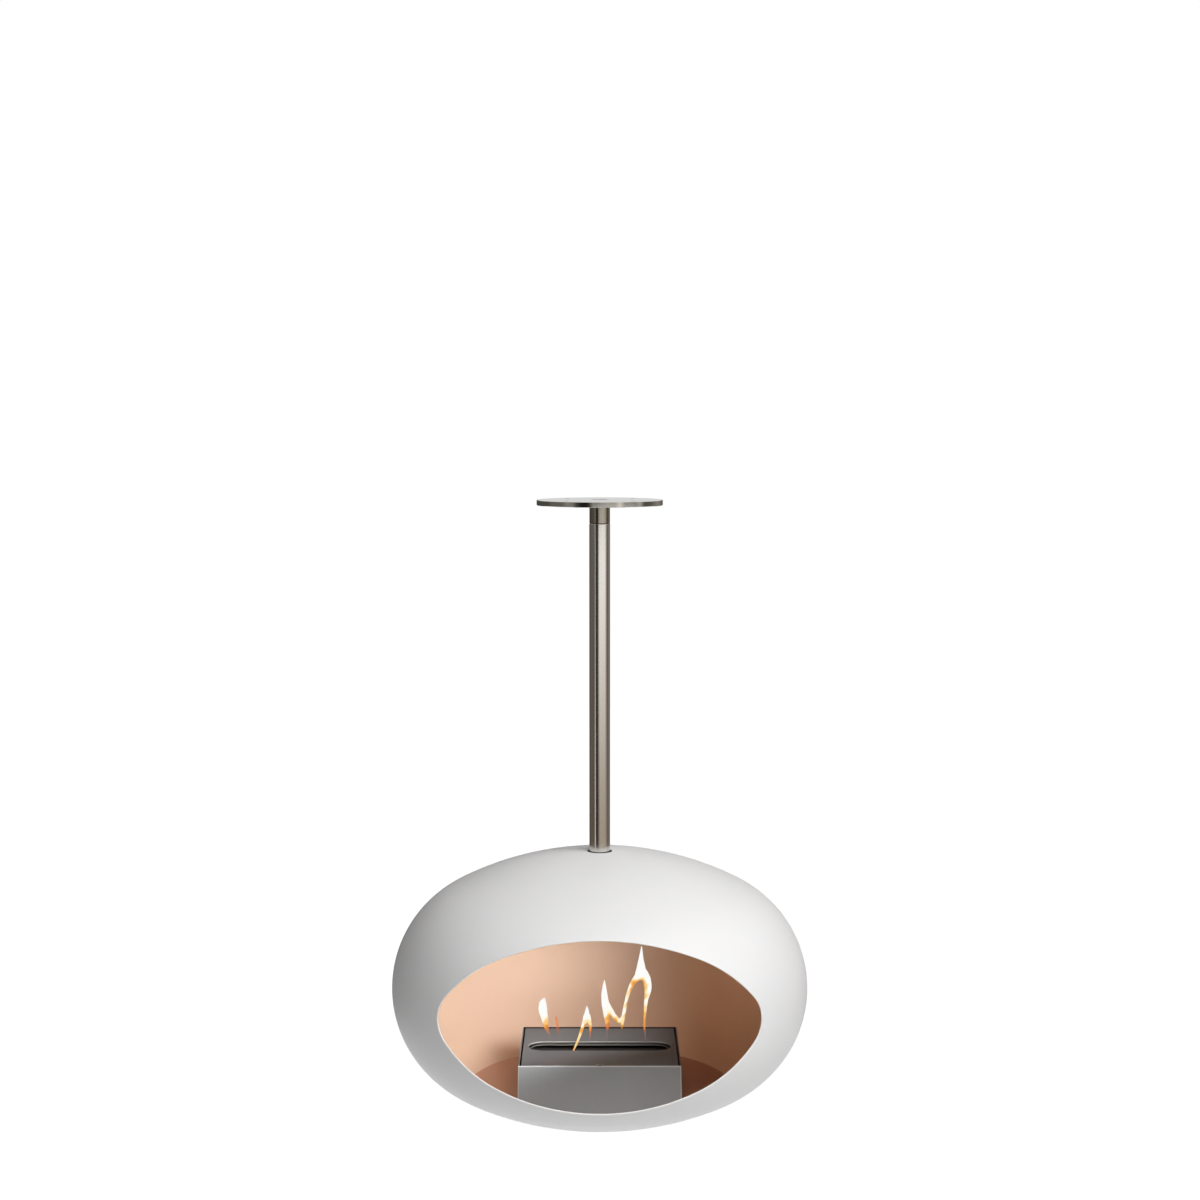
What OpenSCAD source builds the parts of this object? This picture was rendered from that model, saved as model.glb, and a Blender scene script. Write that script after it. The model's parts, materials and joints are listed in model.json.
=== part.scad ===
// Hanging fireplace: an oval dome of spun steel with an ethanol burner inside, carried by a pole
// that turns below a round ceiling plate. The origin is the centre of the ceiling plate's top face,
// +Z is up, the dome's opening faces -Y, and all sizes are in millimetres.

/* [Dome] */
// Widest diameter of the dome
dome_d = 584; // [560:1:620]
// Height of the dome from its bottom to its crown
dome_h = 381.5; // [374:0.5:400]
// Radius of the rounded rim, seen from the side
rim_r = 158; // [150:1:168]
// Thickness of the spun steel sheet
shell_t = 2; // [1.5:0.1:3]

/* [Opening] */
// Width of the front opening
opening_w = 430; // [400:1:440]
// Height of the front opening
opening_h = 229; // [210:1:236]
// Radius of the opening's two rounded ends
opening_tip_r = 50; // [44:1:56]
// Angle that a rounded end turns through before it meets the opening's shoulders, in degrees
opening_tip_turn = 38; // [34:1:42]
// Angle at which the shoulders meet the opening's flatter top and bottom, in degrees
opening_shoulder_turn = 67; // [62:1:72]
// Height of the opening's middle above the dome's middle
opening_rise = 4.5; // [0:0.5:12]

/* [Ceiling plate] */
// Diameter of the ceiling plate
plate_d = 175; // [160:1:200]
// Thickness of the ceiling plate
plate_t = 7.5; // [7.5:0.5:12]
// Bevel on the plate's two edges
plate_bevel = 0.5; // [0.2:0.1:1]
// Diameter of the circle of ceiling screws
screw_circle_d = 130; // [110:1:140]
// Number of ceiling screws
screw_count = 4; // [3:1:6]
// Diameter of a ceiling screw's hole
screw_hole_d = 6.5; // [5:0.5:8]
// Diameter of the countersink below a ceiling screw's hole
screw_sink_d = 13; // [11:0.5:15]

/* [Swivel] */
// Diameter of the collar below the ceiling plate
collar_d = 28.6; // [26:0.1:30]
// Height of the collar
collar_h = 25; // [15:1:40]
// Diameter of the swivel stud
stud_d = 12; // [11:0.5:13]
// Diameter of the stud's countersunk head
stud_head_d = 24; // [20:1:24]
// Radial clearance between the stud and what turns or sits on it
swivel_gap = 0.05; // [0.02:0.01:0.1]
// Thickness of the slip washer between the collar and the pole
slip_washer_t = 0.8; // [0.5:0.1:1.5]
// Thickness of the thrust washer that carries the pole head
thrust_washer_t = 1.5; // [1:0.5:3]
// Height of the bored head in the pole's top end
pole_head_h = 20; // [15:1:30]
// Height of the lock nut
lock_nut_h = 10; // [8:1:12]
// Width across flats of the lock nut
lock_nut_af = 18; // [16:1:19]
// Length of stud that stands out below the lock nut
stud_tail = 2; // [1:0.5:4]

/* [Pole] */
// Diameter of the pole
pole_d = 29; // [27:0.5:32]
// Wall thickness of the pole
pole_wall = 2; // [1.5:0.1:2.3]
// Length of pole that shows between the slip washer and the dome's crown
pole_drop = 459.5; // [300:0.5:1500]
// Bevel on the collar's lower edge and the pole's upper edge
joint_bevel = 0.4; // [0.2:0.1:0.8]

/* [Hanger] */
// Outer diameter of the rubber grommet around the pole
grommet_d = 35.6; // [34.6:0.2:44]
// Diameter of the hanger disc under the crown
hanger_d = 90; // [70:1:120]
// Thickness of the hanger disc at its hub
hanger_t = 4; // [4:0.5:6]
// Depth of the hub's flat below the inside of the crown
hub_drop = 1; // [0.8:0.1:1.5]
// Diameter of the hanger bolt
hanger_bolt_d = 12; // [10:1:14]
// Length of the hanger bolt that sits in the pole's plug
bolt_reach = 20; // [15:1:24]
// Height of the plug in the pole's lower end
plug_h = 26; // [25:1:40]
// Diameter of the washer under the hanger disc
hanger_washer_d = 40; // [30:1:50]
// Thickness of that washer
hanger_washer_t = 3; // [2:0.5:4]
// Width across flats of the hanger bolt's head
bolt_head_af = 18; // [17:1:21]
// Height of the hanger bolt's head
bolt_head_h = 7.5; // [6:0.5:9]

/* [Floor plate] */
// Depth of the floor plate's top below the dome's middle
floor_drop = 147; // [144:1:154]
// Thickness of the floor plate
floor_t = 2; // [2:0.5:4]
// Spacing of the four posts below the floor plate, both ways
post_spacing = 170; // [160:2:190]
// Diameter of a post
post_d = 12; // [10:1:16]
// Diameter of a floor screw
floor_screw_d = 4; // [4:0.5:5]
// Diameter of a floor screw's countersunk head
floor_head_d = 8; // [7:0.5:8]
// Length of a floor screw
floor_screw_l = 12; // [8:1:16]

/* [Burner case] */
// Width of the burner
case_w = 224; // [222:1:240]
// Depth of the burner, front panel included
case_depth = 195; // [192:1:205]
// Height of the burner above the floor plate
case_h = 57.5; // [52:0.5:65]
// Thickness of the folded case sheet
case_t = 2; // [1.5:0.5:2]
// Radius of the case's two rear corners
case_corner_r = 3; // [2:0.5:6]
// Width of the flanges that the front panel is held by
flange_w = 14; // [12:1:18]
// Depth of the flanges' top ends below the burner's top
flange_drop = 6; // [5:0.5:9]
// Thickness of the front panel
panel_t = 3; // [2.5:0.5:4]
// Bevel around the front panel's face
panel_bevel = 1.8; // [0.5:0.1:2.2]
// Diameter of a welded stud on the front panel's back
panel_stud_d = 4; // [3:0.5:4.5]
// Width across flats of a panel nut
panel_nut_af = 7; // [6.5:0.5:8]
// Height of a panel nut
panel_nut_h = 2.5; // [2:0.1:3]
// Spacing of the case screws, side to side
case_screw_x = 120; // [100:2:130]
// Spacing of the case screws, front to back
case_screw_y = 110; // [90:2:120]
// Diameter of a case screw
case_screw_d = 5; // [4:0.5:6]
// Diameter of a case screw's flat head
case_head_d = 9.5; // [8:0.5:12]
// Height of a case screw's flat head
case_head_h = 2; // [1.5:0.1:2.4]
// Width across flats of a case nut
case_nut_af = 8; // [8:0.5:10]
// Height of a case nut
case_nut_h = 4; // [3:0.5:5]

/* [Burner insert] */
// Gap between the top plate and the case's walls
plate_gap = 2; // [1:0.25:3]
// Gap between the top plate and the front panel
front_gap = 0.3; // [0.3:0.1:0.8]
// Thickness of the burner's top plate
top_plate_t = 1.5; // [1:0.1:2]
// Width of the top plate's strip beyond each end of the flame slot
slot_margin = 7; // [7:1:16]
// Width of the flame slot
slot_w = 46; // [40:1:50]
// Width of the lifting notch in the top plate's front edge
notch_w = 8.8; // [6:0.2:12]
// Depth of the lifting notch
notch_depth = 7.5; // [7:0.5:10]
// Thickness of the tank's lid
lid_t = 1.5; // [1:0.1:2]
// How far the lid's slot is smaller than the top plate's, all round
lid_step = 3; // [1:0.5:5]
// Gap between the fuel tank's sides and the case's walls
tank_side_gap = 8; // [6:0.5:9]
// Gap between the fuel tank's back and the case's back wall
tank_back_gap = 10.5; // [9.5:0.5:15]
// Thickness of the tank's sheet
tank_t = 1.5; // [1:0.1:2]
// Radius of the tank's upright corners
tank_corner_r = 8; // [4:1:16]
// How far the lid stands out past the tank's walls
lid_rim = 3; // [2:0.5:3]
// Gap between the ceramic wool and the tank's walls
wool_gap = 0.3; // [0.2:0.1:1]
// Depth of the wool's top below the lid
wool_drop = 6; // [4:0.5:12]
// Diameter of a tank foot
foot_d = 16; // [12:1:20]
// Height of a tank foot
foot_h = 3; // [2.8:0.1:4]
// Distance from the tank's sides to the middle of a foot
foot_inset = 15; // [12:1:18]

/* [Slot shutter] */
// Height of the room that the shutter slides in
shutter_room = 2; // [1.8:0.1:3]
// Thickness of the shutter
shutter_t = 1.2; // [1:0.1:1.4]
// How far the closed shutter laps under the top plate, front and back
shutter_lap = 5; // [4:0.5:6]
// How far the open shutter's front edge shows in the slot
shutter_peep = 2; // [1:0.5:2.5]
// Gap between the shutter and its guide rails
rail_gap = 0.3; // [0.2:0.1:0.5]
// Width of a guide rail
rail_w = 3; // [2.5:0.5:3]
// Width of the tool groove in the shutter
groove_w = 6; // [4:1:8]
// Length of the tool groove
groove_l = 50; // [30:1:80]

/* [Fits] */
// Clearance of a piece that is seated in or against another
seat_gap = 0.1; // [0.05:0.05:0.15]

/* [Hidden] */
$fn = 96;
hex = 6;
rim_steps = 12;
crown_steps = 8;
past = 1;

// Heights, from the ceiling down
pole_top = -(plate_t + collar_h + slip_washer_t);
head_bottom = pole_top - pole_head_h;
nut_top = head_bottom - thrust_washer_t;
stud_end = nut_top - lock_nut_h - stud_tail;
crown_z = pole_top - pole_drop;
hub_z = crown_z - shell_t - hub_drop;
hanger_z = hub_z - hanger_t;
dome_z = crown_z - dome_h / 2;

// Sizes shared by the pieces on the pole
pole_bore = pole_d - 2 * pole_wall;
thrust_washer_d = pole_bore - 2;
stud_hole_d = stud_d + 2 * swivel_gap;
head_recess = 0.3;

// Heights above the floor plate and places from front to back in the burner
panel_back = panel_t - case_depth / 2;
flange_back = panel_back + case_t;
case_back = case_depth / 2 - case_t;
plate_front = panel_back + front_gap;
plate_rear = case_back - plate_gap;
plate_w = case_w - 2 * case_t - 2 * plate_gap;
slot_l = plate_w - 2 * slot_margin;
tank_w = case_w - 2 * case_t - 2 * tank_side_gap;
tank_depth = 2 * (case_back - tank_back_gap);
tank_z = case_t + foot_h;
plate_z = case_h - top_plate_t;
lid_top = plate_z - shutter_room;
lid_z = lid_top - lid_t;
wool_z = tank_z + tank_t;
wool_top = lid_z - wool_drop;
lid_w = tank_w + 2 * lid_rim;
lid_depth = tank_depth + 2 * lid_rim;
rail_inner = lid_w / 2 - rail_w;
shutter_w = 2 * (rail_inner - rail_gap);
shutter_depth = slot_w + 2 * shutter_lap;
shutter_front = slot_w / 2 - shutter_peep;
panel_stud_x = case_w / 2 - flange_w / 2 - case_t / 2;
panel_stud_low = case_h * 0.25;
panel_stud_high = case_h * 0.7;

// Radius of the flatter arcs of an oval with half width a, half height b and end arcs of radius r
function crown_r(a, b, r) = ((a - r) ^ 2 + b ^ 2 - r ^ 2) / (2 * (b - r));

// Angle at which an end arc meets a flatter arc
function oval_turn(a, b, r) = atan2(crown_r(a, b, r) - b, a - r);

// Points of an oval's quarter, from its widest point up to its top
function oval_quarter(a, b, r) =
    let (big = crown_r(a, b, r), turn = oval_turn(a, b, r))
    concat(
        [for (i = [0 : rim_steps])
            let (t = turn * i / rim_steps)
            [a - r + r * cos(t), r * sin(t)]],
        [for (i = [1 : crown_steps - 1])
            let (t = turn + (90 - turn) * i / crown_steps)
            [big * cos(t), b - big + big * sin(t)]],
        [[0, b]]
    );

// Upper right quarter of the dome's section, set in from its outside by inset
module dome_quarter(inset) {
    polygon(concat([[0, 0]], oval_quarter(dome_d / 2 - inset, dome_h / 2 - inset, rim_r - inset)));
}

// Quarter of the sheet's section
module sheet_quarter() {
    difference() {
        dome_quarter(0);
        dome_quarter(shell_t);
    }
}

// Direction at an angle from the X axis
function aim(angle) = [cos(angle), sin(angle)];

// Slice of a disc around mid, between two angles
module disc_slice(mid, r, from, to) {
    intersection() {
        translate(mid) circle(r);
        polygon([mid, mid + 2 * r * aim(from), mid + 2 * r * aim(to)]);
    }
}

// Outline of the opening in tangent arcs: rounded ends, shoulders, and a flatter top and bottom, whose
// slices of discs overlap
module opening_plan() {
    half_h = opening_h / 2;
    tip = aim(opening_tip_turn);
    shoulder = aim(opening_shoulder_turn);
    tip_mid = [opening_w / 2 - opening_tip_r, 0];
    tip_end = tip_mid + opening_tip_r * tip;
    up = half_h - tip_end.y;
    bend = tip - shoulder;
    share = bend.x * (1 - shoulder.y) + shoulder.x * bend.y;
    shoulder_r = (tip_end.x * (1 - shoulder.y) - shoulder.x * up) / share;
    top_r = (bend.x * up + bend.y * tip_end.x) / share;
    shoulder_mid = tip_end - shoulder_r * tip;
    top_mid = [0, half_h - top_r];
    for (m = [0, 1]) {
        mirror([m, 0]) translate(tip_mid) circle(opening_tip_r);
        mirror([0, m]) disc_slice(top_mid, top_r, opening_shoulder_turn, 180 - opening_shoulder_turn);
        for (n = [0, 1]) mirror([m, 0]) mirror([0, n])
            disc_slice(shoulder_mid, shoulder_r, opening_tip_turn, 90);
    }
}

// Solid that cuts the front opening
module opening_cut() {
    translate([0, 0, dome_z + opening_rise]) rotate([90, 0, 0])
        linear_extrude(dome_d) opening_plan();
}

// Lower half of the space inside the dome, set in from the sheet by the seat clearance
module lower_hollow() {
    translate([0, 0, dome_z]) mirror([0, 0, 1]) rotate_extrude() dome_quarter(shell_t + seat_gap);
}

// Ring or tube with its lower face at z
module ring(outer_d, inner_d, z, h) {
    translate([0, 0, z]) difference() {
        cylinder(d = outer_d, h = h);
        translate([0, 0, -past]) cylinder(d = inner_d, h = h + 2 * past);
    }
}

// Hexagonal bar with its lower face at z
module hex_bar(af, z, h) {
    translate([0, 0, z]) cylinder(d = af / cos(180 / hex), h = h, $fn = hex);
}

// Hexagonal nut with its lower face at z
module hex_nut(af, hole_d, z, h) {
    difference() {
        hex_bar(af, z, h);
        translate([0, 0, z - past]) cylinder(d = hole_d, h = h + 2 * past);
    }
}

// Upright cylinder with its lower face at z
module rod(d, z, h) {
    translate([0, 0, z]) cylinder(d = d, h = h);
}

// Copies its children to the four corners of a rectangle around the Z axis
module four(x, y) {
    for (sx = [-1, 1], sy = [-1, 1]) translate([sx * x / 2, sy * y / 2, 0]) children();
}

// Places its children on the floor plate's top face
module on_floor() {
    translate([0, 0, dome_z - floor_drop]) children();
}

// Rectangle with rounded corners, centred
module rounded_plan(w, depth, r) {
    square([w - 2 * r, depth], center = true);
    square([w, depth - 2 * r], center = true);
    for (sx = [-1, 1], sy = [-1, 1]) translate([sx * (w / 2 - r), sy * (depth / 2 - r)]) circle(r);
}

// Outline of a slot with round ends, centred
module slot_plan(l, w) {
    square([l - w, w], center = true);
    for (s = [-1, 1]) translate([s * (l - w) / 2, 0]) circle(d = w);
}

// Ceiling plate: a bevelled disc, countersunk below for the ceiling screws and above for the stud
module ceiling_plate() color("silver") {
    difference() {
        rotate_extrude() polygon([
            [0, 0], [plate_d / 2 - plate_bevel, 0], [plate_d / 2, -plate_bevel],
            [plate_d / 2, plate_bevel - plate_t], [plate_d / 2 - plate_bevel, -plate_t], [0, -plate_t]
        ]);
        for (i = [0 : screw_count - 1])
            rotate(360 * (i + 0.5) / screw_count) translate([screw_circle_d / 2, 0, 0]) {
                rod(screw_hole_d, -plate_t - past, plate_t + 2 * past);
                screw_sink();
            }
        rod(stud_hole_d, -plate_t - past, plate_t + 2 * past);
        rotate_extrude() stud_head_section(swivel_gap, past);
    }
}

// Countersink that opens downwards in the ceiling plate
module screw_sink() {
    depth = (screw_sink_d - screw_hole_d) / 2;
    translate([0, 0, -plate_t - past])
        cylinder(d1 = screw_sink_d + 2 * past, d2 = screw_hole_d, h = depth + past);
}

// Half section of the stud's countersunk head, grown by a gap and carried up above it
module stud_head_section(gap, above) {
    r = stud_head_d / 2;
    depth = r - stud_d / 2;
    polygon([
        [0, above], [r + gap, above], [r + gap, -head_recess],
        [stud_d / 2 + gap, -head_recess - depth], [0, -head_recess - depth]
    ]);
}

// Collar: a bored turned piece between the ceiling plate and the pole
module swivel_collar() color("silver") {
    difference() {
        rotate_extrude() polygon([
            [0, -plate_t], [collar_d / 2, -plate_t],
            [collar_d / 2, joint_bevel - plate_t - collar_h],
            [collar_d / 2 - joint_bevel, -plate_t - collar_h], [0, -plate_t - collar_h]
        ]);
        rod(stud_hole_d, -plate_t - collar_h - past, collar_h + 2 * past);
    }
}

// Swivel stud: a countersunk bolt from the ceiling plate down through the pole head
module swivel_stud() color("dimgray") {
    rotate_extrude() stud_head_section(0, -head_recess);
    rod(stud_d, stud_end, -head_recess - stud_end);
}

// Slip washer that shows as a thin line between the collar and the pole
module slip_washer() color("black") {
    ring(collar_d - 2 * joint_bevel, stud_hole_d, pole_top, slip_washer_t);
}

// Thrust washer that the pole head turns on
module thrust_washer() color("goldenrod") {
    ring(thrust_washer_d, stud_hole_d, nut_top, thrust_washer_t);
}

// Lock nut at the stud's end
module lock_nut() color("dimgray") {
    hex_nut(lock_nut_af, stud_hole_d, nut_top - lock_nut_h, lock_nut_h);
}

// Pole: a long tube whose lower end stands on the hanger disc
module pole_tube() color("silver") {
    difference() {
        rotate_extrude() polygon([
            [0, hub_z], [pole_d / 2, hub_z], [pole_d / 2, pole_top - joint_bevel],
            [pole_d / 2 - joint_bevel, pole_top], [0, pole_top]
        ]);
        rod(pole_bore, hub_z - past, pole_top - hub_z + 2 * past);
    }
}

// Bored head that is welded into the pole's top end and turns on the stud
module pole_head() color("gray") {
    ring(pole_bore - seat_gap, stud_hole_d, head_bottom, pole_head_h);
}

// Threaded plug in the pole's lower end
module pole_plug() color("gray") {
    ring(pole_bore - seat_gap, hanger_bolt_d + seat_gap, hub_z, plug_h);
}

// Rubber grommet between the pole and the edge of the hole in the crown
module pole_grommet() color("black") {
    inner = pole_d / 2 + seat_gap / 2;
    outer = grommet_d / 2 - seat_gap;
    bevel = (outer - inner) / 4;
    rotate_extrude() polygon([
        [inner, hub_z], [outer, hub_z], [outer, crown_z - bevel], [outer - bevel, crown_z],
        [inner + bevel, crown_z], [inner, crown_z - bevel]
    ]);
}

// Hanger disc: its shoulder follows the inside of the crown and its flat hub takes the pole's end
module hanger_disc() color("gray") {
    inner = (hanger_bolt_d + seat_gap) / 2;
    translate([0, 0, dome_z]) rotate_extrude() intersection() {
        dome_quarter(shell_t + seat_gap);
        translate([inner, hanger_z - dome_z]) square([hanger_d / 2 - inner, hanger_t]);
    }
}

// Washer between the hanger disc and the bolt's head
module hanger_washer() color("gray") {
    ring(hanger_washer_d, hanger_bolt_d + seat_gap, hanger_z - hanger_washer_t, hanger_washer_t);
}

// Bolt that draws the hanger disc up against the pole
module hanger_bolt() color("dimgray") {
    under_head = hanger_z - hanger_washer_t;
    hex_bar(bolt_head_af, under_head - bolt_head_h, bolt_head_h);
    rod(hanger_bolt_d, under_head - bolt_head_h / 2, hub_z + bolt_reach - under_head + bolt_head_h / 2);
}

// Upper half of the dome, with the hole for the pole and the upper part of the opening
module upper_shell() color("white") {
    difference() {
        translate([0, 0, dome_z]) rotate_extrude() difference() {
            sheet_quarter();
            square([grommet_d / 2, dome_h]);
        }
        opening_cut();
    }
}

// Lower half of the dome, with the lower part of the opening
module lower_shell() color("white") {
    difference() {
        translate([0, 0, dome_z]) mirror([0, 0, 1]) rotate_extrude() sheet_quarter();
        opening_cut();
    }
}

// Floor plate: a disc whose edge follows the inside of the dome
module floor_plate() color("sienna") {
    difference() {
        intersection() {
            lower_hollow();
            on_floor() rod(dome_d, -floor_t, floor_t);
        }
        on_floor() four(post_spacing, post_spacing) {
            rod(floor_screw_d + seat_gap, -floor_t - past, floor_t + 2 * past);
            floor_head(seat_gap);
        }
        on_floor() four(case_screw_x, case_screw_y)
            rod(case_screw_d + seat_gap, -floor_t - past, floor_t + 2 * past);
    }
}

// Countersunk head of a floor screw, flush with the floor plate, grown all round by a gap
module floor_head(gap) {
    depth = (floor_head_d - floor_screw_d) / 2;
    translate([0, 0, -depth]) cylinder(d1 = floor_screw_d + gap, d2 = floor_head_d + gap, h = depth);
}

// Four posts that stand on the dome's inside and carry the floor plate
module floor_posts() color("gray") {
    difference() {
        intersection() {
            lower_hollow();
            on_floor() four(post_spacing, post_spacing) rod(post_d, -floor_t - dome_h, dome_h);
        }
        on_floor() four(post_spacing, post_spacing)
            rod(floor_screw_d + seat_gap, -floor_screw_l - past, floor_screw_l + past);
    }
}

// Four screws that hold the floor plate to its posts
module floor_screws() color("dimgray") {
    on_floor() four(post_spacing, post_spacing) {
        rod(floor_screw_d, -floor_screw_l, floor_screw_l);
        floor_head(0);
    }
}

// Plan of the burner case behind its front panel, with rounded rear corners
module case_plan() {
    body = case_depth / 2 - panel_back;
    translate([0, panel_back + body / 2]) {
        rounded_plan(case_w, body, case_corner_r);
        translate([0, -case_corner_r]) square([case_w, body - 2 * case_corner_r], center = true);
        translate([0, case_corner_r / 2 - body / 2]) square([case_w, case_corner_r], center = true);
    }
}

// Burner case: floor, sides and back in one folded sheet, with two flanges for the front panel
module burner_case() color("dimgray") {
    on_floor() difference() {
        union() {
            difference() {
                linear_extrude(case_h) case_plan();
                translate([-case_w / 2 + case_t, panel_back - past, case_t])
                    cube([case_w - 2 * case_t, case_back - panel_back + past, case_h]);
            }
            for (s = [0, 1]) mirror([s, 0, 0]) translate([case_w / 2 - flange_w, panel_back, 0])
                cube([flange_w, case_t, case_h - flange_drop]);
        }
        four(case_screw_x, case_screw_y) rod(case_screw_d + seat_gap, -past, case_t + 2 * past);
        panel_stud_places() translate([0, panel_back - past, 0]) rotate([-90, 0, 0])
            cylinder(d = panel_stud_d + seat_gap, h = case_t + 2 * past);
    }
}

// Copies its children to the four panel studs
module panel_stud_places() {
    for (s = [-1, 1], z = [panel_stud_low, panel_stud_high]) translate([s * panel_stud_x, 0, z]) children();
}

// Front panel: a thicker bare plate, bevelled around its face, with four welded studs on its back
module front_panel() color("gray") {
    front = panel_back - panel_t;
    on_floor() {
        intersection() {
            linear_extrude(case_h) polygon([
                [-case_w / 2, panel_back], [-case_w / 2, front + panel_bevel],
                [-case_w / 2 + panel_bevel, front], [case_w / 2 - panel_bevel, front],
                [case_w / 2, front + panel_bevel], [case_w / 2, panel_back]
            ]);
            translate([-case_w / 2, 0, 0]) rotate([90, 0, 90]) linear_extrude(case_w) polygon([
                [panel_back, 0], [panel_back, case_h], [front + panel_bevel, case_h],
                [front, case_h - panel_bevel], [front, panel_bevel], [front + panel_bevel, 0]
            ]);
        }
        panel_stud_places() translate([0, panel_back - panel_t / 2, 0]) rotate([-90, 0, 0])
            cylinder(d = panel_stud_d, h = panel_t / 2 + case_t + panel_nut_h);
    }
}

// Four nuts on the front panel's studs
module panel_nuts() color("dimgray") {
    on_floor() panel_stud_places() translate([0, flange_back, 0]) rotate([-90, 0, 0])
        hex_nut(panel_nut_af, panel_stud_d + seat_gap, 0, panel_nut_h);
}

// Four screws that hold the case down on the floor plate
module case_screws() color("dimgray") {
    on_floor() four(case_screw_x, case_screw_y) {
        rod(case_head_d, case_t, case_head_h);
        rod(case_screw_d, -floor_t - case_nut_h, floor_t + case_nut_h + case_t + case_head_h / 2);
    }
}

// Four nuts on the case screws, below the floor plate
module case_nuts() color("dimgray") {
    on_floor() four(case_screw_x, case_screw_y)
        hex_nut(case_nut_af, case_screw_d + seat_gap, -floor_t - case_nut_h, case_nut_h);
}

// Fuel tank: an open box with rounded upright corners
module fuel_tank() color("silver") {
    on_floor() translate([0, 0, tank_z]) difference() {
        linear_extrude(lid_z - tank_z) rounded_plan(tank_w, tank_depth, tank_corner_r);
        translate([0, 0, tank_t]) linear_extrude(lid_z - tank_z)
            rounded_plan(tank_w - 2 * tank_t, tank_depth - 2 * tank_t, tank_corner_r - tank_t);
    }
}

// Four feet that hold the tank clear of the case screws
module tank_feet() color("dimgray") {
    on_floor() four(tank_w - 2 * foot_inset, tank_depth - 2 * foot_inset) rod(foot_d, case_t, foot_h);
}

// Block of ceramic wool that soaks up the fuel
module wool_block() color("ivory") {
    shrink = 2 * (tank_t + wool_gap);
    on_floor() translate([0, 0, wool_z]) linear_extrude(wool_top - wool_z)
        rounded_plan(tank_w - shrink, tank_depth - shrink, tank_corner_r - tank_t);
}

// Tank lid, whose smaller slot shows as an inner rim below the flame slot
module tank_lid() color("gray") {
    on_floor() translate([0, 0, lid_z]) linear_extrude(lid_t) difference() {
        rounded_plan(lid_w, lid_depth, tank_corner_r);
        slot_plan(slot_l - 2 * lid_step, slot_w - 2 * lid_step);
    }
}

// Two rails that guide the shutter and carry the top plate
module guide_rails() color("gray") {
    start = -shutter_depth / 2;
    length = lid_depth / 2 - tank_corner_r - start;
    on_floor() for (s = [0, 1]) mirror([s, 0, 0]) translate([rail_inner, start, lid_top])
        cube([rail_w, length, shutter_room]);
}

// Top plate with the flame slot and the lifting notch
module top_plate() color("gray") {
    depth = plate_rear - plate_front;
    on_floor() translate([0, 0, plate_z]) linear_extrude(top_plate_t) difference() {
        translate([-plate_w / 2, plate_front]) square([plate_w, depth]);
        slot_plan(slot_l, slot_w);
        translate([0, plate_front + notch_depth - notch_w / 2]) circle(d = notch_w);
        translate([-notch_w / 2, plate_front - past]) square([notch_w, notch_depth - notch_w / 2 + past]);
    }
}

// Shutter that closes the slot to put the fire out, parked open behind it
module slot_shutter() color("darkgray") {
    on_floor() translate([0, shutter_front + shutter_depth / 2, lid_top]) difference() {
        linear_extrude(shutter_t) rounded_plan(shutter_w, shutter_depth, shutter_lap);
        translate([0, 0, shutter_t / 2]) linear_extrude(shutter_t) slot_plan(groove_l, groove_w);
    }
}

ceiling_plate();
swivel_collar();
swivel_stud();
slip_washer();
thrust_washer();
lock_nut();
pole_tube();
pole_head();
pole_plug();
pole_grommet();
hanger_disc();
hanger_washer();
hanger_bolt();
upper_shell();
lower_shell();
floor_plate();
floor_posts();
floor_screws();
burner_case();
front_panel();
panel_nuts();
case_screws();
case_nuts();
fuel_tank();
tank_feet();
wool_block();
tank_lid();
guide_rails();
top_plate();
slot_shutter();
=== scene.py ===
"""Looks of a hanging fireplace: an oval steel dome, white outside and copper inside, on a polished
steel pole, with a slotted burner and its flames. All sizes are in metres, in the model's frame."""
import json
import math

import bpy
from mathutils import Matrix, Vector


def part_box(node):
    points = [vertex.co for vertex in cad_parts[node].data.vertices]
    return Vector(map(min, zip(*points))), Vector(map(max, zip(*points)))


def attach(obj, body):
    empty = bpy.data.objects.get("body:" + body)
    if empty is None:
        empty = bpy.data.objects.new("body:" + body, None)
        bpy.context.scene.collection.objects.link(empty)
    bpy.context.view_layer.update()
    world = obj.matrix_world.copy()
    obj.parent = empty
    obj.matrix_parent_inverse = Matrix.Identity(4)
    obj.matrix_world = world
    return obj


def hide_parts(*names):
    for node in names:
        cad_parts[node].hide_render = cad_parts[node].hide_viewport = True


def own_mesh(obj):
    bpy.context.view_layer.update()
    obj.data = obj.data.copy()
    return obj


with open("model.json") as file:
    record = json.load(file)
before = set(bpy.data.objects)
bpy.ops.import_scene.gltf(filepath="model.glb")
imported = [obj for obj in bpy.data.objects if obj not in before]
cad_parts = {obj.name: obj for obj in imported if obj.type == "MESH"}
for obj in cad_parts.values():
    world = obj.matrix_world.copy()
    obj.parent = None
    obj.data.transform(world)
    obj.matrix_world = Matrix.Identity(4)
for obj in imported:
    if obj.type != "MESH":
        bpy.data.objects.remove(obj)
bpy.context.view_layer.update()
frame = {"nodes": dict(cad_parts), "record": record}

NODES = frame["nodes"]
MM = 0.001
TURN = 2 * math.pi

# Sizes that the frame's boxes don't give
RIM_RADIUS = 158 * MM
SHEET = 2 * MM
CASE_SHEET = 2 * MM
CROWN_GAP = 0.1 * MM
OPENING_HALF_W = 215 * MM
OPENING_HALF_H = 114.5 * MM
OPENING_TIP_RADIUS = 50 * MM
OPENING_TIP_TURN = math.radians(38)
OPENING_SHOULDER_TURN = math.radians(67)
OPENING_RISE = 4.5 * MM

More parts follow.
